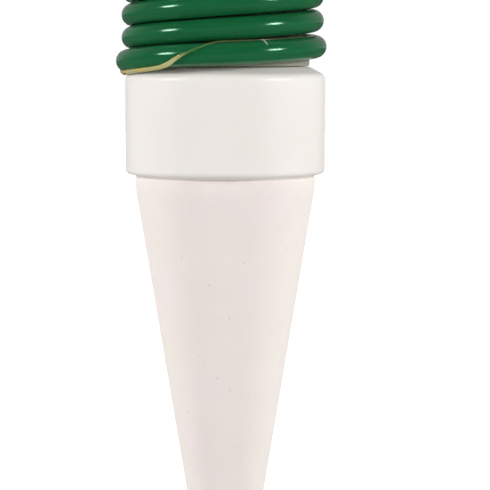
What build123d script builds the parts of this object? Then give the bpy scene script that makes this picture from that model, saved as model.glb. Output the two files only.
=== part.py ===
# Self watering spike, in millimetres, with +Z up and the origin on the cone's axis at the collar's lower edge.
# The porous ceramic cone goes into the soil up to that edge. The collar glued to the cone has a threaded neck,
# and the screw cap on the neck is also the drum that carries the supply tube. The front faces -Y.
from build123d import *

import os
from math import asin, atan2, ceil, cos, degrees, hypot, pi, radians, sin, sqrt, tan

# Supply tube: soft plastic of the common 4 mm size
tube_r = 2.0
tube_wall = 0.75
soft_clearance = 0.3

# Ceramic cone, from the soil line down to its tip, with a spigot that goes up into the collar
spigot_r = 15.7
spigot_chamfer = 0.6
spigot_end_gap = 0.75
cone_length = 86.0
cone_wall = 3.0
cone_rim_step = 1.0
cone_rim_gap = 0.4
cone_rim_band = 2.0
cone_rim_round = 0.4
cone_rim_blend = 15.0
cone_tip_r = 3.2
cavity_tip_r = 1.6

# Glue between the spigot and the collar, with a bead of it in the gap over the cone's rim
bond_thickness = 1.2
bond_end_gap = 3.0
bond_bead_inset = 0.1

# Collar, with its sloping shoulder and its neck
collar_wall = 1.6
collar_side_height = 17.4
collar_foot_round = 1.0
shoulder_width = 2.87
shoulder_round = 1.5
shoulder_angle = 27.7
deck_wall = 1.9
neck_wall = 1.6
neck_rim_round = 0.3

# Thread, as the round ridges of a moulded neck
thread_pitch = 3.5
thread_turns = 2
thread_ridge_r = 0.9
thread_clearance = 0.3
thread_below_rim = 2.7

# Screw cap, whose skirt is the drum
cap_foot_gap = 0.11
bead_step = 1.23
bead_height = 1.5
bead_round = 0.5
drum_wall = 1.0
flange_overhang = 1.8
flange_thickness = 1.6
grip_count = 36
grip_cutter_r = 1.0
grip_depth = 0.5
boss_r = 4.2
boss_height = 1.6
boss_round = 0.6
boss_foot_round = 0.8

# Hose barb, the same on the cap and on the strainer
barb_stem_clearance = 0.05
barb_grip = 0.2
barb_wall = 0.5
barb_tip_land = 0.3
barb_length = 1.8
barb_reach = 7.0
strainer_barb_reach = 5.0

# Washer between the neck's rim and the cap
seal_thickness = 1.5
seal_edge_gap = 0.3

# Winding: turns are counted from the left of the spike, anticlockwise from above and upwards
wind_first = -0.125
wind_last = 5.75
wind_turn_gap = 0.43
wind_bead_gap = 0.35
wind_top_gap = 1.2
spread_from = 0.5
spread_out = 2.0
settle_turns = 0.15
floor_clearance = 0.6
tail_run = 10.0
nudge = 0.001

# Loop from the winding's top to the cap's hose barb: a first and a last straight run, with corners chosen between
lead_first_run = 8.0
lead_last_run = 7.6
lead_corners = [
    (-22.2, 19.9, 52.6),
    (-27.4, 17.2, 63.6),
    (-24.2, 8.4, 72.4),
    (-14.2, 0.6, 73.0),
    (-4.4, -0.4, 68.4),
]
run_share = 0.45

# Rubber band round the winding: for each point, the turn that it touches and how far round the tube it lies,
# in degrees from straight out, so that 90 is on top of the tube
band_r = 0.55
band_clearance = 0.25
band_turns_and_angles = [
    (0.00, -76),
    (0.05, -76),
    (0.10, -74),
    (0.135, -62),
    (0.16, -34),
    (0.185, 4),
    (0.21, 38),
    (0.24, 58),
    (0.31, 60),
    (0.39, 57),
    (0.47, 54),
    (0.56, 52),
    (0.64, 52),
    (0.72, 52),
    (0.79, 48),
    (0.84, 28),
    (0.88, -2),
    (-0.08, 2),
    (-0.05, -36),
    (-0.02, -66),
]
band_first_count = 10

# Strainer on the tube's free end
strainer_r = 3.2
strainer_length = 13.0
strainer_wall = 0.7
strainer_end_wall = 0.9
strainer_end_round = 0.5
strainer_cap_wall = 1.2
strainer_plug = 1.5
strainer_plug_clearance = 0.05
slot_count = 8
slot_width = 0.9
slot_margin = 1.4
foam_clearance = 0.1

cut_overrun = 1.0
samples_per_turn = 96

# Radii that follow from the sizes above, from the spigot outwards and from the collar inwards
tube_bore_r = tube_r - tube_wall
cavity_r = spigot_r - cone_wall
cone_rim_r = spigot_r + cone_rim_step
collar_bore_r = spigot_r + bond_thickness
collar_r = collar_bore_r + collar_wall
bead_r = collar_r - shoulder_width
drum_r = bead_r - bead_step
cap_bore_r = drum_r - drum_wall
neck_r = cap_bore_r - thread_ridge_r - thread_clearance
neck_bore_r = neck_r - neck_wall
wind_r = drum_r + soft_clearance + tube_r
flange_r = wind_r + flange_overhang
barb_stem_r = tube_bore_r - barb_stem_clearance
barb_r = tube_bore_r + barb_grip
barb_bore_r = barb_stem_r - barb_wall
barb_tip_r = barb_bore_r + barb_tip_land
strainer_bore_r = strainer_r - strainer_wall

# Heights that follow
tip_centre = cone_tip_r - cone_length
rim_top = -cone_rim_gap
rim_foot = rim_top - cone_rim_band
shoulder_lean = radians(shoulder_angle)
shoulder_start_r = collar_r - shoulder_round * (1 - sin(shoulder_lean))
shoulder_start_height = collar_side_height + shoulder_round * cos(shoulder_lean)
shoulder_top = shoulder_start_height + (shoulder_start_r - bead_r) * tan(shoulder_lean)
deck_underside = shoulder_top - deck_wall
spigot_height = deck_underside - spigot_end_gap
cap_foot = shoulder_top + cap_foot_gap
bead_top = cap_foot + bead_height

# The helix's height at turn 0, and the height at which the spread turn clears the collar's round or slope
wind_pitch = 2 * tube_r + wind_turn_gap
wind_zero_height = bead_top + wind_bead_gap + tube_r - spread_from * wind_pitch
floor_reach = shoulder_round + tube_r + floor_clearance
floor_offset = wind_r + spread_out - (collar_r - shoulder_round)
if floor_offset < floor_reach * sin(shoulder_lean):
    floor_rise = (floor_reach - floor_offset * sin(shoulder_lean)) / cos(shoulder_lean)
else:
    floor_rise = sqrt(max(0, floor_reach**2 - floor_offset**2))
floor_height = collar_side_height + floor_rise
flange_underside = wind_zero_height + wind_last * wind_pitch + tube_r + wind_top_gap
flange_top = flange_underside + flange_thickness
boss_top = flange_top + boss_height
neck_top = flange_underside - seal_thickness
thread_top = neck_top - thread_below_rim
thread_foot = thread_top - thread_turns * thread_pitch

os.makedirs("parts", exist_ok=True)


def finish(piece, name):
    """Labels a finished piece and writes it."""
    piece.part.label = name
    export_step(piece.part, f"parts/{name}.step")


def add_biarcs(points, directions):
    """Joins the points, inside a BuildLine, by pairs of arcs that pass each point in its direction."""
    for start, end, leave, arrive in zip(points, points[1:], directions, directions[1:]):
        chord = end - start
        along = chord.dot(leave + arrive)
        bend = 2 * (1 - leave.dot(arrive)) * chord.dot(chord)
        reach = chord.dot(chord) / (along + sqrt(along**2 + bend))
        out = start + leave * reach
        back = end - arrive * reach
        middle = (out + back) * 0.5
        TangentArc(start, middle, tangent=leave)
        TangentArc(middle, end, tangent=back - out)


def stations(place_at, first, last, spans):
    """The places along a route at even steps of its turns, and the route's directions there."""
    turns = [first + (last - first) * k / spans for k in range(spans + 1)]
    ways = [(place_at(t + nudge) - place_at(t - nudge)).normalized() for t in turns]
    return [place_at(t) for t in turns], ways


def around(turns, radius, height):
    """A place that many turns round the axis, counted from the left of the spike."""
    angle = pi + 2 * pi * turns
    return Vector(radius * cos(angle), radius * sin(angle), height)


def square_to(place, way):
    """The plane across a route at one of its places."""
    return Plane(origin=place, z_dir=way)


def side_angle(r, height, tip_height, tip_r):
    """The angle from the axis of a straight side from (r, height) to a round tip that it touches."""
    return atan2(r, height - tip_height) - asin(tip_r / hypot(r, height - tip_height))


def touch(tip_height, tip_r, side):
    """Where a straight side at that angle touches the tip."""
    return (tip_r * cos(side), tip_height - tip_r * sin(side))


# Ceramic cone: one closed revolved wall, with the reservoir inside it
cone_side = side_angle(cone_rim_r, rim_foot, tip_centre, cone_tip_r)
cavity_centre = tip_centre + (cone_wall + cavity_tip_r - cone_tip_r) / sin(cone_side)
cavity_join = tip_centre + (cavity_r + (cone_wall - cone_tip_r) / cos(cone_side)) / tan(cone_side)
with BuildPart() as ceramic_cone:
    with BuildSketch(Plane.XZ):
        with BuildLine():
            Polyline(
                touch(tip_centre, cone_tip_r, cone_side),
                (cone_rim_r, rim_foot),
                (cone_rim_r, rim_top),
                (spigot_r, rim_top),
                (spigot_r, spigot_height),
                (cavity_r, spigot_height),
                (cavity_r, cavity_join),
                touch(cavity_centre, cavity_tip_r, cone_side),
            )
            CenterArc((0, cavity_centre), cavity_tip_r, -degrees(cone_side), degrees(cone_side) - 90)
            Line((0, cavity_centre - cavity_tip_r), (0, -cone_length))
            CenterArc((0, tip_centre), cone_tip_r, -90, 90 - degrees(cone_side))
        make_face()
    revolve(axis=Axis.Z)
    rim_edges = ceramic_cone.edges().filter_by_position(Axis.Z, rim_top, rim_top)
    fillet(rim_edges.sort_by(SortBy.LENGTH)[-1], cone_rim_round)
    band_edges = ceramic_cone.edges().filter_by_position(Axis.Z, rim_foot, rim_foot)
    fillet(band_edges.sort_by(SortBy.LENGTH)[-1], cone_rim_blend)
    spigot_edges = ceramic_cone.edges().filter_by_position(Axis.Z, spigot_height, spigot_height)
    chamfer(spigot_edges.sort_by(SortBy.LENGTH)[-1], spigot_chamfer)
finish(ceramic_cone, "ceramic_cone")

# Bond ring: the set glue that seals the ceramic into the collar, and fills the gap over the cone's rim
with BuildPart() as bond_ring:
    with BuildSketch(Plane.XY.offset(rim_top)):
        Circle(cone_rim_r - bond_bead_inset)
    extrude(amount=cone_rim_gap)
    with BuildSketch(Plane.XY):
        Circle(collar_bore_r)
    extrude(amount=spigot_height - bond_end_gap)
    with BuildSketch(Plane.XY.offset(rim_top)):
        Circle(spigot_r)
    extrude(amount=spigot_height - bond_end_gap - rim_top, mode=Mode.SUBTRACT)
finish(bond_ring, "bond_ring")


def thread_stations(radius, foot):
    """Places and directions at each quarter turn of a right-handed thread."""
    return stations(
        lambda turns: around(turns, radius, foot + turns * thread_pitch), 0, thread_turns, 4 * thread_turns
    )


# Collar: side, sloping shoulder and threaded neck in one moulding
with BuildPart() as cone_collar:
    with BuildSketch(Plane.XZ):
        with BuildLine():
            side = Line((collar_r, 0), (collar_r, collar_side_height))
            bend = JernArc(side @ 1, (0, 1), shoulder_round, 90 - shoulder_angle)
            Polyline(
                bend @ 1,
                (bead_r, shoulder_top),
                (neck_r, shoulder_top),
                (neck_r, neck_top),
                (neck_bore_r, neck_top),
                (neck_bore_r, deck_underside),
                (collar_bore_r, deck_underside),
                (collar_bore_r, 0),
                (collar_r, 0),
            )
        make_face()
    revolve(axis=Axis.Z)
    foot_edges = cone_collar.edges().filter_by_position(Axis.Z, 0, 0)
    fillet(foot_edges.sort_by(SortBy.LENGTH)[-1], collar_foot_round)
    neck_edges = cone_collar.edges().filter_by_position(Axis.Z, neck_top, neck_top)
    fillet(neck_edges, neck_rim_round)
    with BuildLine() as neck_ridge:
        add_biarcs(*thread_stations(neck_r, thread_foot))
    with BuildSketch(square_to(neck_ridge.wire() @ 0, neck_ridge.wire() % 0)):
        Circle(thread_ridge_r)
    sweep(path=neck_ridge.wire())
finish(cone_collar, "cone_collar")

# Cap seal: a flat washer that the cap presses onto the neck's rim
with BuildPart() as cap_seal:
    with BuildSketch(Plane.XY.offset(neck_top)):
        Circle(cap_bore_r - seal_edge_gap)
        Circle(neck_bore_r, mode=Mode.SUBTRACT)
    extrude(amount=seal_thickness)
finish(cap_seal, "cap_seal")


def barb_outline(root, reach, inner):
    """Outline of a hose barb in (radius, height), from its root out to its tip and back down its bore."""
    return [
        (barb_stem_r, root),
        (barb_stem_r, root + reach - 2 * barb_length),
        (barb_r, root + reach - 2 * barb_length),
        (barb_stem_r, root + reach - barb_length),
        (barb_r, root + reach - barb_length),
        (barb_tip_r, root + reach),
        (barb_bore_r, root + reach),
        (barb_bore_r, inner),
    ]


# Winding cap: skirt with its own thread inside, foot bead, flange with finger grips, boss and hose barb
with BuildPart() as winding_cap:
    with BuildSketch(Plane.XZ):
        with BuildLine():
            Polyline(
                (cap_bore_r, flange_underside),
                (cap_bore_r, cap_foot),
                (bead_r, cap_foot),
                (bead_r, bead_top),
                (drum_r, bead_top),
                (drum_r, flange_underside),
                (flange_r, flange_underside),
                (flange_r, flange_top),
                (boss_r, flange_top),
                (boss_r, boss_top),
                *barb_outline(boss_top, barb_reach, flange_underside),
                close=True,
            )
        make_face()
    revolve(axis=Axis.Z)
    bead_edges = winding_cap.edges().filter_by_position(Axis.Z, bead_top, bead_top)
    fillet(bead_edges.sort_by(SortBy.LENGTH)[-1], bead_round)
    foot_edges = winding_cap.edges().filter_by_position(Axis.Z, cap_foot, cap_foot)
    fillet(foot_edges.sort_by(SortBy.LENGTH)[-1], bead_round)
    boss_edges = winding_cap.edges().filter_by_position(Axis.Z, boss_top, boss_top)
    fillet(boss_edges.sort_by(SortBy.LENGTH)[-1], boss_round)
    top_edges = winding_cap.edges().filter_by_position(Axis.Z, flange_top, flange_top)
    fillet(top_edges.sort_by(SortBy.LENGTH)[0], boss_foot_round)
    with BuildSketch(Plane.XY.offset(flange_underside)):
        with PolarLocations(flange_r + grip_cutter_r - grip_depth, grip_count):
            Circle(grip_cutter_r)
    extrude(amount=flange_thickness, mode=Mode.SUBTRACT)
    with BuildLine() as skirt_ridge:
        add_biarcs(*thread_stations(cap_bore_r, thread_foot - thread_pitch / 2))
    with BuildSketch(square_to(skirt_ridge.wire() @ 0, skirt_ridge.wire() % 0)):
        Circle(thread_ridge_r)
    sweep(path=skirt_ridge.wire())
finish(winding_cap, "winding_cap")


def wound_place(turns):
    """Centre of the wound tube. The lowest turn spreads outwards and settles on the collar's shoulder."""
    spread = min(1, max(0, (spread_from - turns) / (spread_from - wind_first)))
    radius = wind_r + spread_out * sin(spread * pi / 2)
    above = turns - (floor_height - wind_zero_height) / wind_pitch
    climb = max(above, 0) if abs(above) > settle_turns else (above + settle_turns) ** 2 / (4 * settle_turns)
    return around(turns, radius, floor_height + wind_pitch * climb)


# Tube winding: one unbroken tube with a straight run at each end
wind_spans = ceil(4 * (wind_last - wind_first))
wound_places, wound_ways = stations(wound_place, wind_first, wind_last, wind_spans)
tail_way = wound_ways[0] * -1
tail_end = wound_places[0] + tail_way * tail_run
lead_start = wound_places[-1] + wound_ways[-1] * (2 * tube_r)
with BuildPart() as tube_winding:
    with BuildLine() as wound_route:
        Line(tail_end, wound_places[0])
        add_biarcs(wound_places, wound_ways)
        Line(wound_places[-1], lead_start)
    with BuildSketch(square_to(tail_end, wound_ways[0])):
        Circle(tube_r)
        Circle(tube_bore_r, mode=Mode.SUBTRACT)
    sweep(path=wound_route.wire())
finish(tube_winding, "tube_winding")


def least_gap(wire, apart):
    """Least gap between stretches of the tube that lie more than that length apart along it."""
    count = int(samples_per_turn * (wind_last - wind_first))
    places = [wire @ (k / count) for k in range(count + 1)]
    skip = int(apart / wire.length * count)
    return min(
        (a - b).length - 2 * tube_r for k, a in enumerate(places) for b in places[k + skip :]
    )


def bend_radii(points):
    """Radius of each corner's arc, as large as the shorter run beside it allows."""
    radii = []
    for before, corner, after in zip(points, points[1:], points[2:]):
        arriving = corner - before
        leaving = after - corner
        half_turn = radians(arriving.get_angle(leaving)) / 2
        radii.append(run_share * min(arriving.length, leaving.length) / tan(half_turn))
    return radii


# Tube lead: the free loop from the winding over the cap's edge and down onto the hose barb
lead_points = [
    lead_start,
    lead_start + wound_ways[-1] * lead_first_run,
    *[Vector(*corner) for corner in lead_corners],
    Vector(0, 0, boss_top + lead_last_run),
    Vector(0, 0, boss_top),
]
lead_radii = bend_radii(lead_points)
with BuildPart() as tube_lead:
    with BuildLine() as lead_route:
        FilletPolyline(*lead_points, radius=lead_radii)
    with BuildSketch(square_to(lead_start, wound_ways[-1])):
        Circle(tube_r)
        Circle(tube_bore_r, mode=Mode.SUBTRACT)
    sweep(path=lead_route.wire())
finish(tube_lead, "tube_lead")


def band_place(turns, lift):
    """Centre of the rubber band, beside the tube of that turn and that many degrees round from straight out."""
    centre = wound_place(turns)
    out = Vector(centre.X, centre.Y, 0).normalized()
    reach = tube_r + band_clearance + band_r
    return centre + out * (reach * cos(radians(lift))) + Vector(0, 0, reach * sin(radians(lift)))


# Rubber band: a closed loop, swept as two stretches that meet
band_places = [band_place(turns, lift) for turns, lift in band_turns_and_angles]
band_ahead = band_places[1:] + band_places[:1]
band_behind = band_places[-1:] + band_places[:-1]
band_ways = [(ahead - behind).normalized() for ahead, behind in zip(band_ahead, band_behind)]
band_places.append(band_places[0])
band_ways.append(band_ways[0])
with BuildPart() as rubber_band:
    for stretch in (slice(0, band_first_count + 1), slice(band_first_count, None)):
        with BuildLine() as band_route:
            add_biarcs(band_places[stretch], band_ways[stretch])
        with BuildSketch(square_to(band_places[stretch][0], band_ways[stretch][0])):
            Circle(band_r)
        sweep(path=band_route.wire())
finish(rubber_band, "rubber_band")

# Strainer on the tube's free end: its parts are turned about the tail's own line
across = Vector(0, 0, 1).cross(tail_way).normalized()
strainer_section = Plane(origin=tail_end, x_dir=tail_way.cross(across), z_dir=across)
strainer_axis = Axis(tail_end, tail_way)
strainer_end = strainer_cap_wall + strainer_length
plug_end = strainer_cap_wall + strainer_plug

# Strainer cap: flange, plug and hose barb, with the water way through it
with BuildPart() as strainer_cap:
    with BuildSketch(strainer_section):
        with BuildLine():
            Polyline(
                (strainer_r, 0),
                (strainer_r, strainer_cap_wall),
                (strainer_bore_r - strainer_plug_clearance, strainer_cap_wall),
                (strainer_bore_r - strainer_plug_clearance, plug_end),
                (barb_bore_r, plug_end),
                *[(r, -h) for r, h in reversed(barb_outline(0, strainer_barb_reach, 0)[:-1])],
                close=True,
            )
        make_face()
    revolve(axis=strainer_axis)
finish(strainer_cap, "strainer_cap")

# Strainer body: a slotted cup
with BuildPart() as strainer_body:
    with BuildSketch(strainer_section):
        with BuildLine():
            Polyline(
                (strainer_bore_r, strainer_cap_wall),
                (strainer_r, strainer_cap_wall),
                (strainer_r, strainer_end),
                (0, strainer_end),
                (0, strainer_end - strainer_end_wall),
                (strainer_bore_r, strainer_end - strainer_end_wall),
                close=True,
            )
        make_face()
    revolve(axis=strainer_axis)
    end_face = strainer_body.faces().filter_by(GeomType.PLANE).sort_by(strainer_axis)[-1]
    fillet(end_face.edges(), strainer_end_round)
    with BuildSketch(square_to(tail_end + tail_way * (plug_end + slot_margin), tail_way)):
        with PolarLocations(strainer_r, slot_count):
            Rectangle(2 * strainer_wall + cut_overrun, slot_width)
    extrude(amount=strainer_end - strainer_end_wall - plug_end - 2 * slot_margin, mode=Mode.SUBTRACT)
finish(strainer_body, "strainer_body")

# Strainer foam: the filter plug inside
with BuildPart() as strainer_foam:
    with BuildSketch(square_to(tail_end + tail_way * (plug_end + foam_clearance), tail_way)):
        Circle(strainer_bore_r - foam_clearance)
    extrude(amount=strainer_end - strainer_end_wall - plug_end - 2 * foam_clearance)
finish(strainer_foam, "strainer_foam")

tube_section = pi * (tube_r**2 - tube_bore_r**2)
half_turn_length = pi * wind_r
print("lead corner radii:", [round(radius, 1) for radius in lead_radii])
print("lead length:", round(lead_route.wire().length, 1))
print("winding length:", round(wound_route.wire().length, 1))
for piece, route in ((tube_winding, wound_route), (tube_lead, lead_route)):
    print("volume over section times length:", round(piece.part.volume / (tube_section * route.wire().length), 4))
print("least gap between turns:", round(least_gap(wound_route.wire(), half_turn_length), 3))
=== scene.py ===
from math import cos, pi, radians, sin

import bmesh
import bpy
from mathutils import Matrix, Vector


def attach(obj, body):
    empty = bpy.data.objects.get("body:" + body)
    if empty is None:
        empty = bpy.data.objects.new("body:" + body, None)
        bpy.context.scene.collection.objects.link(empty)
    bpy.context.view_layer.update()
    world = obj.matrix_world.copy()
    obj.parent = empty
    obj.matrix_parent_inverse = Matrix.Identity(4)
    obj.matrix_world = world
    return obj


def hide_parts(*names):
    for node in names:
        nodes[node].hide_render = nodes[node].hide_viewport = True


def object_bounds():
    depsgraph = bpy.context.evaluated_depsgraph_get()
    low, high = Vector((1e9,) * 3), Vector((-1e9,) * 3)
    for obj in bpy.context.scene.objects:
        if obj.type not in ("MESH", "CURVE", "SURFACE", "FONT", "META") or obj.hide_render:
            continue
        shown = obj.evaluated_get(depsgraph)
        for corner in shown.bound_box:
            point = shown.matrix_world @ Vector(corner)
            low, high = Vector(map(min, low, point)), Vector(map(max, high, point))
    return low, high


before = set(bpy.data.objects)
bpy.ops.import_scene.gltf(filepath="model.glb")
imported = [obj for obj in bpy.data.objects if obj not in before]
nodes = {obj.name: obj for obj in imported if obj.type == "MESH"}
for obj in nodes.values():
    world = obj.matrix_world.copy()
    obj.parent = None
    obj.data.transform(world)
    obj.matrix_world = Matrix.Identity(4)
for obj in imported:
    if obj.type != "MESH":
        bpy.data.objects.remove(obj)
cad_low, cad_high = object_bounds()
scene = bpy.context.scene
scene.view_settings.view_transform = "Standard"

MM = 0.001

# The camera, from the photograph's horizon and scale. The angles are in degrees.
CAMERA_DISTANCE = 0.540
CAMERA_HEIGHT = 0.02463
CAMERA_PITCH = 4.017
CAMERA_YAW = 0.3905
CAMERA_LENS = 213.59
CAMERA_SENSOR = 36

# The supply tube and its winding, whose radius, ends and top are the solids'. The tube is a little thicker, and
# its turns lie closer, as the photograph shows. Places along it are in turns, counted from the far left.
TUBE_R = 2.08 * MM
TUBE_STEPS = 8
WIND_R = 16.7 * MM
WIND_PITCH = 4.3 * MM
WIND_ZERO_HEIGHT = 21.2 * MM
WIND_TOP_HEIGHT = 47.03 * MM
WIND_FIRST = -0.125
WIND_LAST = 5.75
WIND_POINTS_PER_TURN = 24
TAIL_RUN = 10.0 * MM
NUDGE = 0.001

# How the photographed winding departs from even turns. Its lowest turn spreads outwards.
SPREAD_FROM = 0.62
SPREAD_OUT = 1.6 * MM
# It is a little loose and shifted to the left, up to its end, where it settles into the even way.
LOOSE_FROM = -0.1
LOOSE_TO = 0.7
LOOSE_OUT = 0.10 * MM
LOOSE_LEFT = 0.45 * MM
SETTLES_OVER = 0.5
# Its turns lean down at the left, more from the third turn on.
LEAN_FROM = 0.5
LEAN_TO = 2.0
LEAN = (0.28 * MM, 0.62 * MM)
# From the second turn on it lies a little higher, and its last turns drift to the height of the solids' top.
RAISED = 0.24 * MM
RAISED_FROM = 0.5
RAISED_TO = 1.5
DRIFTS_FROM = 3.5
# The rubber band lifts the lowest turn where it passes over it.
BAND_LIFTS = 0.2 * MM
BAND_LIFTS_AT = 0.153
BAND_LIFTS_OVER = 0.12

# The lead from the winding's top to the cap's hose barb, as in the solids, in millimetres
LEAD_POINTS = [
    (-11.99, 16.7, 47.54),
    (-22.2, 19.9, 52.6),
    (-27.4, 17.2, 63.6),
    (-24.2, 8.4, 72.4),
    (-14.2, 0.6, 73.0),
    (-4.4, -0.4, 68.4),
    (0.0, 0.0, 61.03),
    (0.0, 0.0, 53.43),
]

# The rubber band, in the solids' terms: turn, degrees round the tube from straight out, distance from the
# tube's centre, the way its broad side faces, in degrees from straight out, and its width
BAND_THICKNESS = 0.34 * MM
BAND_STATIONS = [
    (0.00, -76, 2.32, -52, 1.05),
    (0.05, -76, 2.32, -52, 0.98),
    (0.095, -73, 2.32, -50, 0.88),
    (0.127, -67, 2.33, -48, 0.84),
    (0.149, -56, 2.34, -42, 0.86),
    (0.167, -36, 2.35, -15, 0.86),
    (0.180, -13, 2.36, 25, 0.76),
    (0.196, 10, 2.36, 60, 0.55),
    (0.2145, 35, 2.34, 78, 0.45),
    (0.232, 62, 2.32, 88, 0.42),
    (0.255, 88, 2.28, 95, 0.42),
    (0.29, 108, 2.28, 104, 0.42),
    (0.35, 116, 2.28, 108, 0.42),
    (0.44, 120, 2.28, 110, 0.42),
    (0.53, 120, 2.28, 110, 0.42),
    (0.62, 114, 2.28, 106, 0.42),
    (0.71, 96, 2.30, 94, 0.55),
    (0.78, 70, 2.34, 76, 0.80),
    (0.83, 38, 2.35, 44, 0.95),
    (0.88, -2, 2.35, 0, 1.05),
    (-0.08, 2, 2.35, 0, 1.05),
    (-0.05, -38, 2.34, -34, 1.05),
    (-0.02, -66, 2.33, -48, 1.05),
]
BAND_STEPS = 14
BAND_SIDES = 20
BAND_ROUNDNESS = 0.5

# A sliver, loose from the band's edge, that lies over the lowest turn and is drawn near-white as a painted
# glint: its two ends, in the same terms
SLIVER_ENDS = [(0.3125, 98, 2.22, 92, 0.28), (0.3155, 34, 2.20, 40, 0.14)]
SLIVER_THICKNESS = 0.14 * MM
SLIVER_STEPS = 8

# Colours, most as the two near shades that a surface's soft clouds mix
CERAMIC_SHADES = (0.85, 0.80, 0.77), (0.80, 0.73, 0.685)
CERAMIC_TINTS = (0.855, 0.745, 0.765), (0.82, 0.79, 0.68)
# Pits and specks are darkened towards this: painted shade in the pits, the specks' own grey
PIT_SHADE_AND_SPECK_COLOUR = (0.42, 0.38, 0.36)
COLLAR_SHADES = (0.92, 0.865, 0.815), (0.88, 0.82, 0.765)
# The cap is drawn dark grey-green, darker than the collar: partly its own darker plastic, partly painted shade
# of its bead under the coil, with the tube's reflected green
CAP_COLOURS_AND_PAINTED_SHADE = (0.31, 0.32, 0.245), (0.27, 0.28, 0.21)
# The drum's dark green between the wound turns is painted shade with the tube's reflected green
GROOVE_PAINTED_SHADE = (0.03, 0.075, 0.035)
TUBE_SHADES = (0.005, 0.101, 0.030), (0.009, 0.119, 0.039)
STREAK_COLOUR = (0.018, 0.155, 0.062)
TUBE_GLEAM = (0.62, 1.0, 0.80)
# The band's clouds mix golden amber with a pale cream-green: partly the rubber's uneven tone, partly painted
# highlights tinted by the tube's green
AMBER_AND_PAINTED_HIGHLIGHT_SHADES = (0.98, 0.78, 0.24), (0.80, 0.84, 0.50)
# Where the band is narrow, mostly in the groove, it is drawn dark olive: painted shade of the groove with the
# tube's green
AMBER_NARROW_PAINTED_SHADE = (0.32, 0.48, 0.16)
# The sliver is drawn near-white: a painted glint
SLIVER_GLINT_SHADES = (0.97, 0.98, 0.88), (0.93, 0.95, 0.80)
SLIVER_GLINT_NARROW = (0.85, 0.97, 0.80)
GLUE_SHADES = (0.95, 0.91, 0.86), (0.90, 0.86, 0.81)
SEAL_SHADES = (0.012, 0.012, 0.014), (0.02, 0.02, 0.022)
STRAINER_SHADES = (0.016, 0.02, 0.017), (0.024, 0.028, 0.024)
FOAM_SHADES = (0.80, 0.78, 0.70), (0.68, 0.66, 0.58)
WHITE = (1, 1, 1)

# How deep light goes into the soft materials
CERAMIC_DEPTH = 0.8 * MM
COLLAR_DEPTH = 3.0 * MM
CAP_DEPTH = 2.5 * MM
TUBE_DEPTH = 1.5 * MM

# How much the ceramic's pits and specks darken it, the pits' darkening being painted shade in their hollows, how
# small a pit's flat bottom is, and how much wider the coarse grain is drawn than the fine grain
PIT_SHADE_AND_SPECK_DARKNESS = 0.26
PIT_BOTTOM = 0.02
COARSE_SCALE = 0.22

# The heights between which the cap's drum is painted dark green: painted shade in the deep gaps between the
# wound turns, with the tube's reflected green
GROOVE_SHADE_FROM = 22.0 * MM
GROOVE_SHADE_TO = 47.0 * MM
GROOVE_SHADE_FADES_OVER = 0.8 * MM

# The tube's streaks: how short a turn of them is drawn, and how strong they get
STREAK_SHORTENED = 0.0005
STREAK_STRENGTH = 0.55

# The widths between which the band's rubber goes from stretched narrow to full, and how solid it is when
# stretched. Where narrow it takes its narrow colour: painted shade for the band, a painted glint for the sliver
NARROW_WIDTH = 0.45 * MM
FULL_WIDTH = 0.85 * MM
AMBER_SOLID = 0.3
FRAYED_SOLID = 0.9

# The studio: two softboxes at the photograph's angles, in degrees from the camera's side
LAMPS = {
    "softbox_left": {"azimuth": -66, "elevation": 20, "width": 0.36, "height": 0.28, "watts": 5.6},
    "softbox_right": {"azimuth": 61, "elevation": 17, "width": 0.33, "height": 0.255, "watts": 5.9},
}
LAMP_DISTANCE = 1.1
LAMP_TARGET = Vector((0, 0, 0.01))

# The floor lies just under the cone's tip. Away from the tip it glows up to white, between two distances.
FLOOR_LEVEL = cad_low.z - 0.1 * MM
FLOOR_SIZE = 6.0
FLOOR_COLOUR = 0.8
FLOOR_MIRRORED = 0.2
FLOOR_GLOW = 0.40
FLOOR_GLOW_FROM = 0.09
FLOOR_GLOW_TO = 0.24

# The surround's strength from in front to behind, its share from level to overhead, and what is mirrored
AMBIENT = (1.2, 1.9)
OVERHEAD_BETWEEN = (0.0, 0.6)
OVERHEAD_SHARE = (1.0, 0.15)
MIRRORED_BETWEEN = (-0.15, 0.8)
MIRRORED = (0.015, 0.34)


def make_camera():
    """A camera in front, turned a little down and to the right, with no shift."""
    camera = bpy.data.objects.new("camera", bpy.data.cameras.new("camera"))
    scene.collection.objects.link(camera)
    camera.location = (0, -CAMERA_DISTANCE, CAMERA_HEIGHT)
    camera.rotation_euler = (radians(90 - CAMERA_PITCH), 0, radians(-CAMERA_YAW))
    camera.data.lens = CAMERA_LENS
    camera.data.sensor_width = CAMERA_SENSOR
    scene.camera = camera


make_camera()


def share(value, first, last):
    """How far a value has come from first to last, from 0 to 1."""
    return min(1, max(0, (value - first) / (last - first)))


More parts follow.
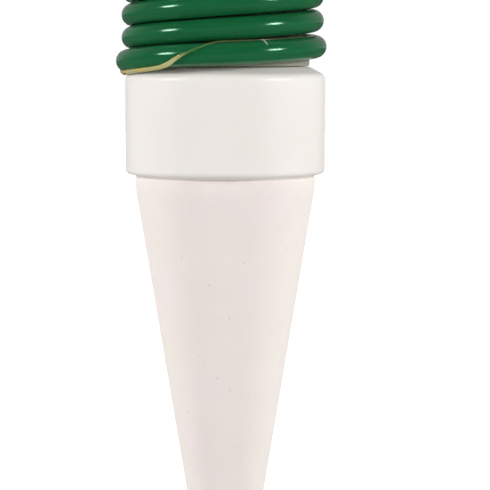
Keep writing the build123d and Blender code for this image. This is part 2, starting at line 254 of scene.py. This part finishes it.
def wound_place(turns):
    """Centre of the wound tube, with the photographed winding's lean and slack, and its spread lowest turn."""
    angle = pi + 2 * pi * turns
    settled = share(turns, WIND_LAST, WIND_LAST - SETTLES_OVER)
    loose = share(turns, LOOSE_FROM, LOOSE_TO) * settled
    radius = WIND_R + SPREAD_OUT * sin(share(turns, SPREAD_FROM, WIND_FIRST) * pi / 2) + LOOSE_OUT * loose
    lean = LEAN[0] + (LEAN[1] - LEAN[0]) * share(turns, LEAN_FROM, LEAN_TO)
    height = WIND_ZERO_HEIGHT + WIND_PITCH * turns + RAISED * share(turns, RAISED_FROM, RAISED_TO)
    height += BAND_LIFTS * cos(share(abs(turns - BAND_LIFTS_AT), 0, BAND_LIFTS_OVER) * pi / 2) ** 2
    height += lean * cos(angle) * settled
    short = WIND_TOP_HEIGHT - WIND_ZERO_HEIGHT - WIND_PITCH * WIND_LAST - RAISED
    height += short * share(turns, DRIFTS_FROM, WIND_LAST) ** 2
    return Vector((radius * cos(angle) - LOOSE_LEFT * loose, radius * sin(angle), height))


def wound_way(turns):
    """The winding's direction there, upwards."""
    return (wound_place(turns + NUDGE) - wound_place(turns - NUDGE)).normalized()


def link(name, data):
    """A new object in the scene."""
    piece = bpy.data.objects.new(name, data)
    scene.collection.objects.link(piece)
    return piece


def make_tube():
    """The whole supply tube as one smooth line: tail, winding, and the lead down onto the hose barb."""
    first = wound_place(WIND_FIRST)
    count = round((WIND_LAST - WIND_FIRST) * WIND_POINTS_PER_TURN)
    turns = [WIND_FIRST + (WIND_LAST - WIND_FIRST) * k / count for k in range(count + 1)]
    points = [first - wound_way(WIND_FIRST) * TAIL_RUN]
    points += [wound_place(t) for t in turns]
    points += [Vector(p) * MM for p in LEAD_POINTS]
    curve = bpy.data.curves.new("supply_tube", "CURVE")
    curve.dimensions = "3D"
    spline = curve.splines.new("NURBS")
    spline.points.add(len(points) - 1)
    for slot, point in zip(spline.points, points):
        slot.co = (*point, 1)
        slot.radius = TUBE_R
    spline.order_u = 3
    spline.use_endpoint_u = True
    spline.resolution_u = TUBE_STEPS
    curve.bevel_depth = 1
    curve.bevel_resolution = TUBE_STEPS
    curve.use_fill_caps = True
    return link("supply_tube", curve)


supply_tube = make_tube()
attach(supply_tube, "cap")
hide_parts("tube_winding", "tube_lead")


def curve_through(rows, steps):
    """A closed smooth run through rows of numbers, as many steps from each row to the next."""
    line = []
    for k in range(len(rows)):
        around = [rows[(k + j) % len(rows)] for j in (-1, 0, 1, 2)]
        for step in range(steps):
            t = step / steps
            weights = (
                (-t + 2 * t**2 - t**3) / 2,
                (2 - 5 * t**2 + 3 * t**3) / 2,
                (t + 4 * t**2 - 3 * t**3) / 2,
                (-(t**2) + t**3) / 2,
            )
            line.append([sum(w * value for w, value in zip(weights, column)) for column in zip(*around)])
    return line


def band_row(turns, lift, reach, facing, width):
    """The band's place beside the tube of that turn, the way that its broad side faces, and its width."""
    centre = wound_place(turns)
    out = Vector((centre.x, centre.y, 0)).normalized()
    place_angle = radians(lift)
    face_angle = radians(facing)
    place = centre + (out * cos(place_angle) + Vector((0, 0, sin(place_angle)))) * reach * MM
    face = out * cos(face_angle) + Vector((0, 0, sin(face_angle)))
    return [*place, *face, width * MM]


def rounded(value):
    """Widens a circle's sine or cosine towards a box with round corners."""
    return abs(value) ** BAND_ROUNDNESS * (1 if value > 0 else -1)


def add_strip(bm, line, thickness, closed):
    """Adds a flat strip through rows of a place, a facing and a width: a loop, or open with flat ends."""
    widths = bm.verts.layers.float["width"]
    places = [Vector(row[:3]) for row in line]
    last = len(line) - 1
    rings = []
    for k, place in enumerate(places):
        ahead = places[(k + 1) % len(line)] if closed else places[min(k + 1, last)]
        behind = places[k - 1] if closed else places[max(k - 1, 0)]
        way = (ahead - behind).normalized()
        face = Vector(line[k][3:6])
        face = (face - way * face.dot(way)).normalized()
        side = way.cross(face)
        width = line[k][6]
        ring = []
        for j in range(BAND_SIDES):
            angle = 2 * pi * j / BAND_SIDES
            across = side * (rounded(cos(angle)) * width / 2)
            vert = bm.verts.new(place + across + face * (rounded(sin(angle)) * thickness / 2))
            vert[widths] = width
            ring.append(vert)
        rings.append(ring)
    for k in range(len(line) if closed else last):
        ring, after = rings[k], rings[(k + 1) % len(line)]
        for j in range(BAND_SIDES):
            m = (j + 1) % BAND_SIDES
            face = bm.faces.new((ring[j], ring[m], after[m], after[j]))
            face.smooth = True
            # The sliver's faces take the second material, its painted glint
            face.material_index = 0 if closed else 1
    if not closed:
        bm.faces.new(rings[0]).material_index = 1
        bm.faces.new(rings[last]).material_index = 1


def make_band():
    """The rubber band: flat under the lowest turn, twisted where it climbs, narrow in the groove above."""
    mesh = bpy.data.meshes.new("amber_band")
    bm = bmesh.new()
    bm.verts.layers.float.new("width")
    stations = [band_row(*station) for station in BAND_STATIONS]
    add_strip(bm, curve_through(stations, BAND_STEPS), BAND_THICKNESS, True)
    first, second = SLIVER_ENDS
    shares = [k / SLIVER_STEPS for k in range(SLIVER_STEPS + 1)]
    sliver = [band_row(*[a + (b - a) * s for a, b in zip(first, second)]) for s in shares]
    add_strip(bm, sliver, SLIVER_THICKNESS, False)
    bmesh.ops.recalc_face_normals(bm, faces=bm.faces)
    bm.to_mesh(mesh)
    bm.free()
    return link("amber_band", mesh)


amber_band = make_band()
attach(amber_band, "cap")
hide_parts("rubber_band")


class Shader:
    """A node tree of a material, a group or the world, with short ways to add nodes and join them."""

    def __init__(self, tree):
        self.tree = tree

    def add(self, kind, **values):
        """A new node with its own settings."""
        node = self.tree.nodes.new(kind)
        for name, value in values.items():
            setattr(node, name, value)
        return node

    def put(self, value, socket):
        """Joins an output to a socket, or sets the socket. Colours are given as red, green and blue."""
        if isinstance(value, bpy.types.NodeSocket):
            self.tree.links.new(value, socket)
        else:
            socket.default_value = (*value, 1) if socket.type == "RGBA" else value

    def feed(self, node, **inputs):
        """Sets or joins a node's inputs by name, with _ for a space."""
        for name, value in inputs.items():
            self.put(value, node.inputs[name.replace("_", " ")])
        return node

    def maths(self, operation, *values, clamp=False):
        """The result of a plain operation on values or on other nodes' outputs."""
        node = self.add("ShaderNodeMath", operation=operation, use_clamp=clamp)
        for value, socket in zip(values, node.inputs):
            self.put(value, socket)
        return node.outputs[0]

    def blend(self, part, first, second, kind="RGBA"):
        """A colour between two, or a value between two for the kind FLOAT."""
        node = self.add("ShaderNodeMix", data_type=kind)
        start, result = {"RGBA": (6, 2), "FLOAT": (2, 0)}[kind]
        self.put(part, node.inputs[0])
        self.put(first, node.inputs[start])
        self.put(second, node.inputs[start + 1])
        return node.outputs[result]

    def ramp(self, value, low, high, start=0.0, end=1.0, kind="SMOOTHSTEP"):
        """Goes from start to end while a value goes from low to high."""
        node = self.add("ShaderNodeMapRange", interpolation_type=kind)
        self.feed(node, Value=value, From_Min=low, From_Max=high, To_Min=start, To_Max=end)
        return node.outputs[0]

    def noise(self, place, scale, detail, **settings):
        """Soft noise at a place."""
        node = self.feed(self.add("ShaderNodeTexNoise"), Vector=place, Scale=scale, Detail=detail, **settings)
        return node.outputs["Fac"]

    def parts(self, place):
        """A place's X, Y and Z."""
        return self.feed(self.add("ShaderNodeSeparateXYZ"), Vector=place).outputs

    def length(self, place):
        """How far a place is from the origin."""
        node = self.add("ShaderNodeVectorMath", operation="LENGTH")
        self.put(place, node.inputs[0])
        return node.outputs["Value"]


def new_group(name, inputs, outputs):
    """A shader node group with named inputs, each with its first value, and named outputs."""
    tree = bpy.data.node_groups.new(name, "ShaderNodeTree")
    for title, kind, value in inputs:
        socket = tree.interface.new_socket(title, in_out="INPUT", socket_type=kind)
        if value is not None:
            socket.default_value = value
    for title, kind in outputs:
        tree.interface.new_socket(title, in_out="OUTPUT", socket_type=kind)
    s = Shader(tree)
    return s, s.add("NodeGroupInput").outputs, s.add("NodeGroupOutput")


def cloudy_group():
    """Slow colour change over a moulded or fired surface: mixes two colours by soft clouds."""
    s, given, out = new_group(
        "cloudy_colour",
        [
            ("Place", "NodeSocketVector", None),
            ("Colour", "NodeSocketColor", (1, 1, 1, 1)),
            ("Other", "NodeSocketColor", (0.9, 0.9, 0.9, 1)),
            ("Size", "NodeSocketFloat", 120.0),
            ("Contrast", "NodeSocketFloat", 1.0),
        ],
        [("Colour", "NodeSocketColor"), ("Mask", "NodeSocketFloat")],
    )
    clouds = s.noise(given["Place"], given["Size"], detail=4.0, Roughness=0.55)
    centred = s.maths("SUBTRACT", clouds, 0.5)
    spread = s.maths("MULTIPLY_ADD", centred, given["Contrast"], 0.5, clamp=True)
    s.feed(out, Colour=s.blend(spread, given["Colour"], given["Other"]), Mask=spread)
    return s.tree


def pitted_group():
    """Scattered small pits: a mask that is 1 in a pit, and a height that falls there."""
    s, given, out = new_group(
        "pitted_surface",
        [
            ("Place", "NodeSocketVector", None),
            ("Density", "NodeSocketFloat", 900.0),
            ("Size", "NodeSocketFloat", 0.18),
            ("Share", "NodeSocketFloat", 0.5),
        ],
        [("Mask", "NodeSocketFloat"), ("Height", "NodeSocketFloat")],
    )
    cells = s.feed(s.add("ShaderNodeTexVoronoi"), Vector=given["Place"], Scale=given["Density"])
    lot = s.feed(s.add("ShaderNodeSeparateColor"), Color=cells.outputs["Color"]).outputs[0]
    chosen = s.maths("LESS_THAN", lot, given["Share"])
    depth = s.ramp(cells.outputs["Distance"], PIT_BOTTOM, given["Size"], start=1.0, end=0.0)
    mask = s.maths("MULTIPLY", depth, chosen)
    s.feed(out, Mask=mask, Height=s.maths("SUBTRACT", 1.0, mask))
    return s.tree


def grain_group():
    """Fine grain of a frosted, fired or extruded surface, at two sizes."""
    s, given, out = new_group(
        "fine_grain",
        [
            ("Place", "NodeSocketVector", None),
            ("Scale", "NodeSocketFloat", 2500.0),
            ("Coarse", "NodeSocketFloat", 0.3),
        ],
        [("Height", "NodeSocketFloat")],
    )
    fine = s.noise(given["Place"], given["Scale"], detail=2.0)
    broad = s.noise(given["Place"], s.maths("MULTIPLY", given["Scale"], COARSE_SCALE), detail=3.0)
    s.feed(out, Height=s.blend(given["Coarse"], fine, broad, "FLOAT"))
    return s.tree


CLOUDY = cloudy_group()
PITTED = pitted_group()
GRAIN = grain_group()


def start_material(name, **settings):
    """A material with a Principled shader and the piece's own coordinates in metres."""
    material = bpy.data.materials.new(name)
    material.use_nodes = True
    s = Shader(material.node_tree)
    s.material = material
    s.skin = material.node_tree.nodes["Principled BSDF"]
    s.feed(s.skin, **settings)
    s.place = s.add("ShaderNodeTexCoord").outputs["Object"]
    return s


def use(s, group, **inputs):
    """Puts a shared effect into a material with its own values."""
    return s.feed(s.add("ShaderNodeGroup", node_tree=group), Place=s.place, **inputs).outputs


def clouded(s, shades, size, contrast):
    """A colour that drifts between two shades over the surface."""
    return use(s, CLOUDY, Colour=shades[0], Other=shades[1], Size=size, Contrast=contrast)["Colour"]


def bump(s, height, depth, strength):
    """A Bump node from a height, as deep as that."""
    return s.feed(s.add("ShaderNodeBump"), Height=height, Distance=depth, Strength=strength)


def grained(s, scale, coarse, depth, strength):
    """The normal of a surface with fine grain."""
    return bump(s, use(s, GRAIN, Scale=scale, Coarse=coarse)["Height"], depth, strength).outputs["Normal"]


def make_ceramic():
    """Unglazed porous ceramic: warm white, softly mottled, with fine grain, grey specks, and small pits darkened
    with painted shade.
    """
    s = start_material(
        "porous_ceramic",
        Roughness=0.9,
        IOR=1.5,
        Specular_IOR_Level=0.25,
        Subsurface_Weight=0.12,
        Subsurface_Radius=(1.0, 0.8, 0.6),
        Subsurface_Scale=CERAMIC_DEPTH,
    )
    shades = clouded(s, CERAMIC_SHADES, size=170.0, contrast=1.6)
    tints = clouded(s, CERAMIC_TINTS, size=95.0, contrast=2.2)
    mottled = s.blend(0.5, shades, tints)
    pits = use(s, PITTED, Density=620.0, Size=0.2, Share=0.13)
    specks = use(s, PITTED, Density=260.0, Size=0.1, Share=0.3)
    # Pits darkened with painted shade in their hollows, and grey specks
    pit_shade_and_specks = s.maths("MULTIPLY", s.maths("MAXIMUM", pits["Mask"], specks["Mask"]), PIT_SHADE_AND_SPECK_DARKNESS)
    grain = grained(s, scale=3200.0, coarse=0.45, depth=0.08 * MM, strength=0.8)
    pitted = s.feed(bump(s, pits["Height"], depth=0.08 * MM, strength=0.8), Normal=grain)
    s.feed(s.skin, Base_Color=s.blend(pit_shade_and_specks, mottled, PIT_SHADE_AND_SPECK_COLOUR), Normal=pitted.outputs["Normal"])
    return s.material


def make_milky(name, shades, depth, groove_shade=None):
    """Frosted milky plastic with a soft sheen, which light goes a little way into. Between two heights it can be
    painted dark green: painted shade with the tube's reflected green.
    """
    s = start_material(
        name,
        Roughness=0.36,
        IOR=1.49,
        Specular_IOR_Level=0.5,
        Subsurface_Weight=0.5,
        Subsurface_Radius=(1.0, 0.94, 0.88),
        Subsurface_Scale=depth,
    )
    colour = clouded(s, shades, size=75.0, contrast=1.4)
    # Painted shade and reflected green on the drum, between the heights that the winding covers
    if groove_shade:
        height = s.parts(s.place)["Z"]
        above = s.ramp(height, GROOVE_SHADE_FROM, GROOVE_SHADE_FROM + GROOVE_SHADE_FADES_OVER)
        below = s.ramp(height, GROOVE_SHADE_TO, GROOVE_SHADE_TO - GROOVE_SHADE_FADES_OVER)
        colour = s.blend(s.maths("MULTIPLY", above, below), colour, groove_shade)
    grain = grained(s, scale=2600.0, coarse=0.5, depth=0.03 * MM, strength=0.6)
    s.feed(s.skin, Base_Color=colour, Normal=grain)
    return s.material


def make_green():
    """Soft glossy tube plastic, which light enters a little, with faint streaks along the wound tube."""
    s = start_material(
        "green_tube",
        Roughness=0.16,
        IOR=1.5,
        Specular_Tint=TUBE_GLEAM,
        Subsurface_Weight=0.15,
        Subsurface_Radius=(0.2, 1.0, 0.4),
        Subsurface_Scale=TUBE_DEPTH,
    )
    way = s.parts(s.place)
    turned = s.maths("ARCTAN2", way["Y"], way["X"])
    flat = s.feed(s.add("ShaderNodeCombineXYZ"), X=way["X"], Y=way["Y"])
    drawn = s.feed(
        s.add("ShaderNodeCombineXYZ"),
        X=s.length(flat.outputs[0]),
        Y=s.maths("MULTIPLY_ADD", turned, -WIND_PITCH / (2 * pi), way["Z"]),
        Z=s.maths("MULTIPLY", turned, STREAK_SHORTENED),
    )
    streaks = s.noise(drawn.outputs[0], scale=1300.0, detail=2.0)
    streaks = s.ramp(streaks, low=0.35, high=0.75, end=STREAK_STRENGTH, kind="LINEAR")
    colour = s.blend(streaks, clouded(s, TUBE_SHADES, size=220.0, contrast=1.2), STREAK_COLOUR)
    grain = grained(s, scale=900.0, coarse=0.7, depth=0.02 * MM, strength=0.15)
    s.feed(s.skin, Base_Color=colour, Normal=grain)
    return s.material


def make_amber(name, shades, narrow_painted_light, solid):
    """Amber rubber, translucent, with a soft sheen, more see-through where it is stretched narrow. There it
    takes its narrow colour: painted shade with the tube's green for the band in its groove, a painted glint for
    the sliver.
    """
    s = start_material(name, Roughness=0.2, IOR=1.45, Transmission_Weight=0.55)
    width = s.add("ShaderNodeAttribute", attribute_name="width").outputs["Fac"]
    full = s.ramp(width, NARROW_WIDTH, FULL_WIDTH)
    # The narrow colour is painted light: painted shade for the band, a painted glint for the sliver
    s.feed(
        s.skin,
        Base_Color=s.blend(full, narrow_painted_light, clouded(s, shades, size=420.0, contrast=2.6)),
        Alpha=s.ramp(full, low=0.0, high=1.0, start=solid, kind="LINEAR"),
        Normal=grained(s, scale=3000.0, coarse=0.5, depth=0.03 * MM, strength=0.5),
    )
    return s.material


def make_plain(name, shades, roughness, scale, depth):
    """A dull moulded or foamed material: two near colours, and a grain of that scale and depth."""
    s = start_material(name, Roughness=roughness)
    grain = grained(s, scale, coarse=0.4, depth=depth, strength=0.8)
    s.feed(s.skin, Base_Color=clouded(s, shades, size=300.0, contrast=1.5), Normal=grain)
    return s.material


strainer_plastic = make_plain("strainer_plastic", STRAINER_SHADES, roughness=0.45, scale=2200.0, depth=0.03 * MM)
FINISHES = {
    "ceramic_cone": make_ceramic(),
    "cone_collar": make_milky("milky_plastic", COLLAR_SHADES, COLLAR_DEPTH),
    "winding_cap": make_milky("cap_plastic", CAP_COLOURS_AND_PAINTED_SHADE, CAP_DEPTH, groove_shade=GROOVE_PAINTED_SHADE),
    "bond_ring": make_plain("set_glue", GLUE_SHADES, roughness=0.45, scale=800.0, depth=0.05 * MM),
    "cap_seal": make_plain("seal_rubber", SEAL_SHADES, roughness=0.65, scale=2500.0, depth=0.03 * MM),
    "strainer_cap": strainer_plastic,
    "strainer_body": strainer_plastic,
    "strainer_foam": make_plain("filter_foam", FOAM_SHADES, roughness=0.95, scale=1400.0, depth=0.3 * MM),
}
for node, material in FINISHES.items():
    nodes[node].data.materials.clear()
    nodes[node].data.materials.append(material)
supply_tube.data.materials.append(make_green())
amber_band.data.materials.append(make_amber("amber_rubber", AMBER_AND_PAINTED_HIGHLIGHT_SHADES, AMBER_NARROW_PAINTED_SHADE, AMBER_SOLID))
amber_band.data.materials.append(make_amber("sliver_painted_glint", SLIVER_GLINT_SHADES, SLIVER_GLINT_NARROW, FRAYED_SOLID))


def make_lamp(name, azimuth, elevation, width, height, watts):
    """A softbox that far round from the camera's side, facing the object."""
    light = bpy.data.lights.new(name, "AREA")
    light.shape = "ELLIPSE"
    light.size = width
    light.size_y = height
    light.energy = watts
    lamp = link(name, light)
    a, e = radians(azimuth), radians(elevation)
    toward = Vector((sin(a) * cos(e), -cos(a) * cos(e), sin(e)))
    lamp.location = LAMP_TARGET + toward * LAMP_DISTANCE
    lamp.rotation_euler = toward.to_track_quat("Z", "Y").to_euler()


for name, lamp in LAMPS.items():
    make_lamp(name, **lamp)


def make_floor():
    """A pale floor under the cone's tip, white to the camera away from the object, and clear from below."""
    mesh = bpy.data.meshes.new("floor")
    half = FLOOR_SIZE / 2
    corners = [(-half, -half), (half, -half), (half, half), (-half, half)]
    mesh.from_pydata([(x, y, FLOOR_LEVEL) for x, y in corners], [], [(0, 1, 2, 3)])
    floor = link("floor", mesh)
    material = bpy.data.materials.new("pale_floor")
    material.use_nodes = True
    s = Shader(material.node_tree)
    s.tree.nodes.clear()
    path = s.add("ShaderNodeLightPath").outputs
    colour = s.blend(path["Is Glossy Ray"], [FLOOR_COLOUR] * 3, [FLOOR_MIRRORED] * 3)
    away = s.length(s.add("ShaderNodeTexCoord").outputs["Object"])
    white = s.ramp(away, FLOOR_GLOW_FROM, FLOOR_GLOW_TO, start=FLOOR_GLOW)
    seen = s.maths("MAXIMUM", path["Is Camera Ray"], path["Is Transmission Ray"])
    pale = s.feed(s.add("ShaderNodeBsdfDiffuse"), Color=colour)
    glow = s.feed(s.add("ShaderNodeEmission"), Color=WHITE, Strength=s.maths("MULTIPLY", seen, white))
    above = s.add("ShaderNodeAddShader")
    s.put(pale.outputs[0], above.inputs[0])
    s.put(glow.outputs[0], above.inputs[1])
    sides = s.add("ShaderNodeMixShader")
    s.put(s.add("ShaderNodeNewGeometry").outputs["Backfacing"], sides.inputs[0])
    s.put(above.outputs[0], sides.inputs[1])
    s.put(s.add("ShaderNodeBsdfTransparent").outputs[0], sides.inputs[2])
    s.feed(s.add("ShaderNodeOutputMaterial"), Surface=sides.outputs[0])
    mesh.materials.append(material)


def make_world():
    """White where it is seen, and in reflections from behind the object: the studio in front is dim."""
    world = bpy.data.worlds.new("studio")
    scene.world = world
    world.use_nodes = True
    s = Shader(world.node_tree)
    s.tree.nodes.clear()
    path = s.add("ShaderNodeLightPath").outputs
    way = s.parts(s.add("ShaderNodeTexCoord").outputs["Generated"])
    behind = s.ramp(way["Y"], *MIRRORED_BETWEEN, *MIRRORED)
    ambient = s.ramp(way["Y"], -1.0, 1.0, *AMBIENT)
    overhead = s.ramp(way["Z"], *OVERHEAD_BETWEEN, *OVERHEAD_SHARE)
    mirrored = s.maths("MAXIMUM", path["Is Glossy Ray"], path["Is Transmission Ray"])
    level = s.blend(mirrored, s.maths("MULTIPLY", ambient, overhead), behind, "FLOAT")
    shown = s.blend(path["Is Camera Ray"], level, 1.0, "FLOAT")
    back = s.feed(s.add("ShaderNodeBackground"), Color=WHITE, Strength=shown)
    s.feed(s.add("ShaderNodeOutputWorld"), Surface=back.outputs[0])


make_floor()
make_world()

bpy.context.view_layer.update()
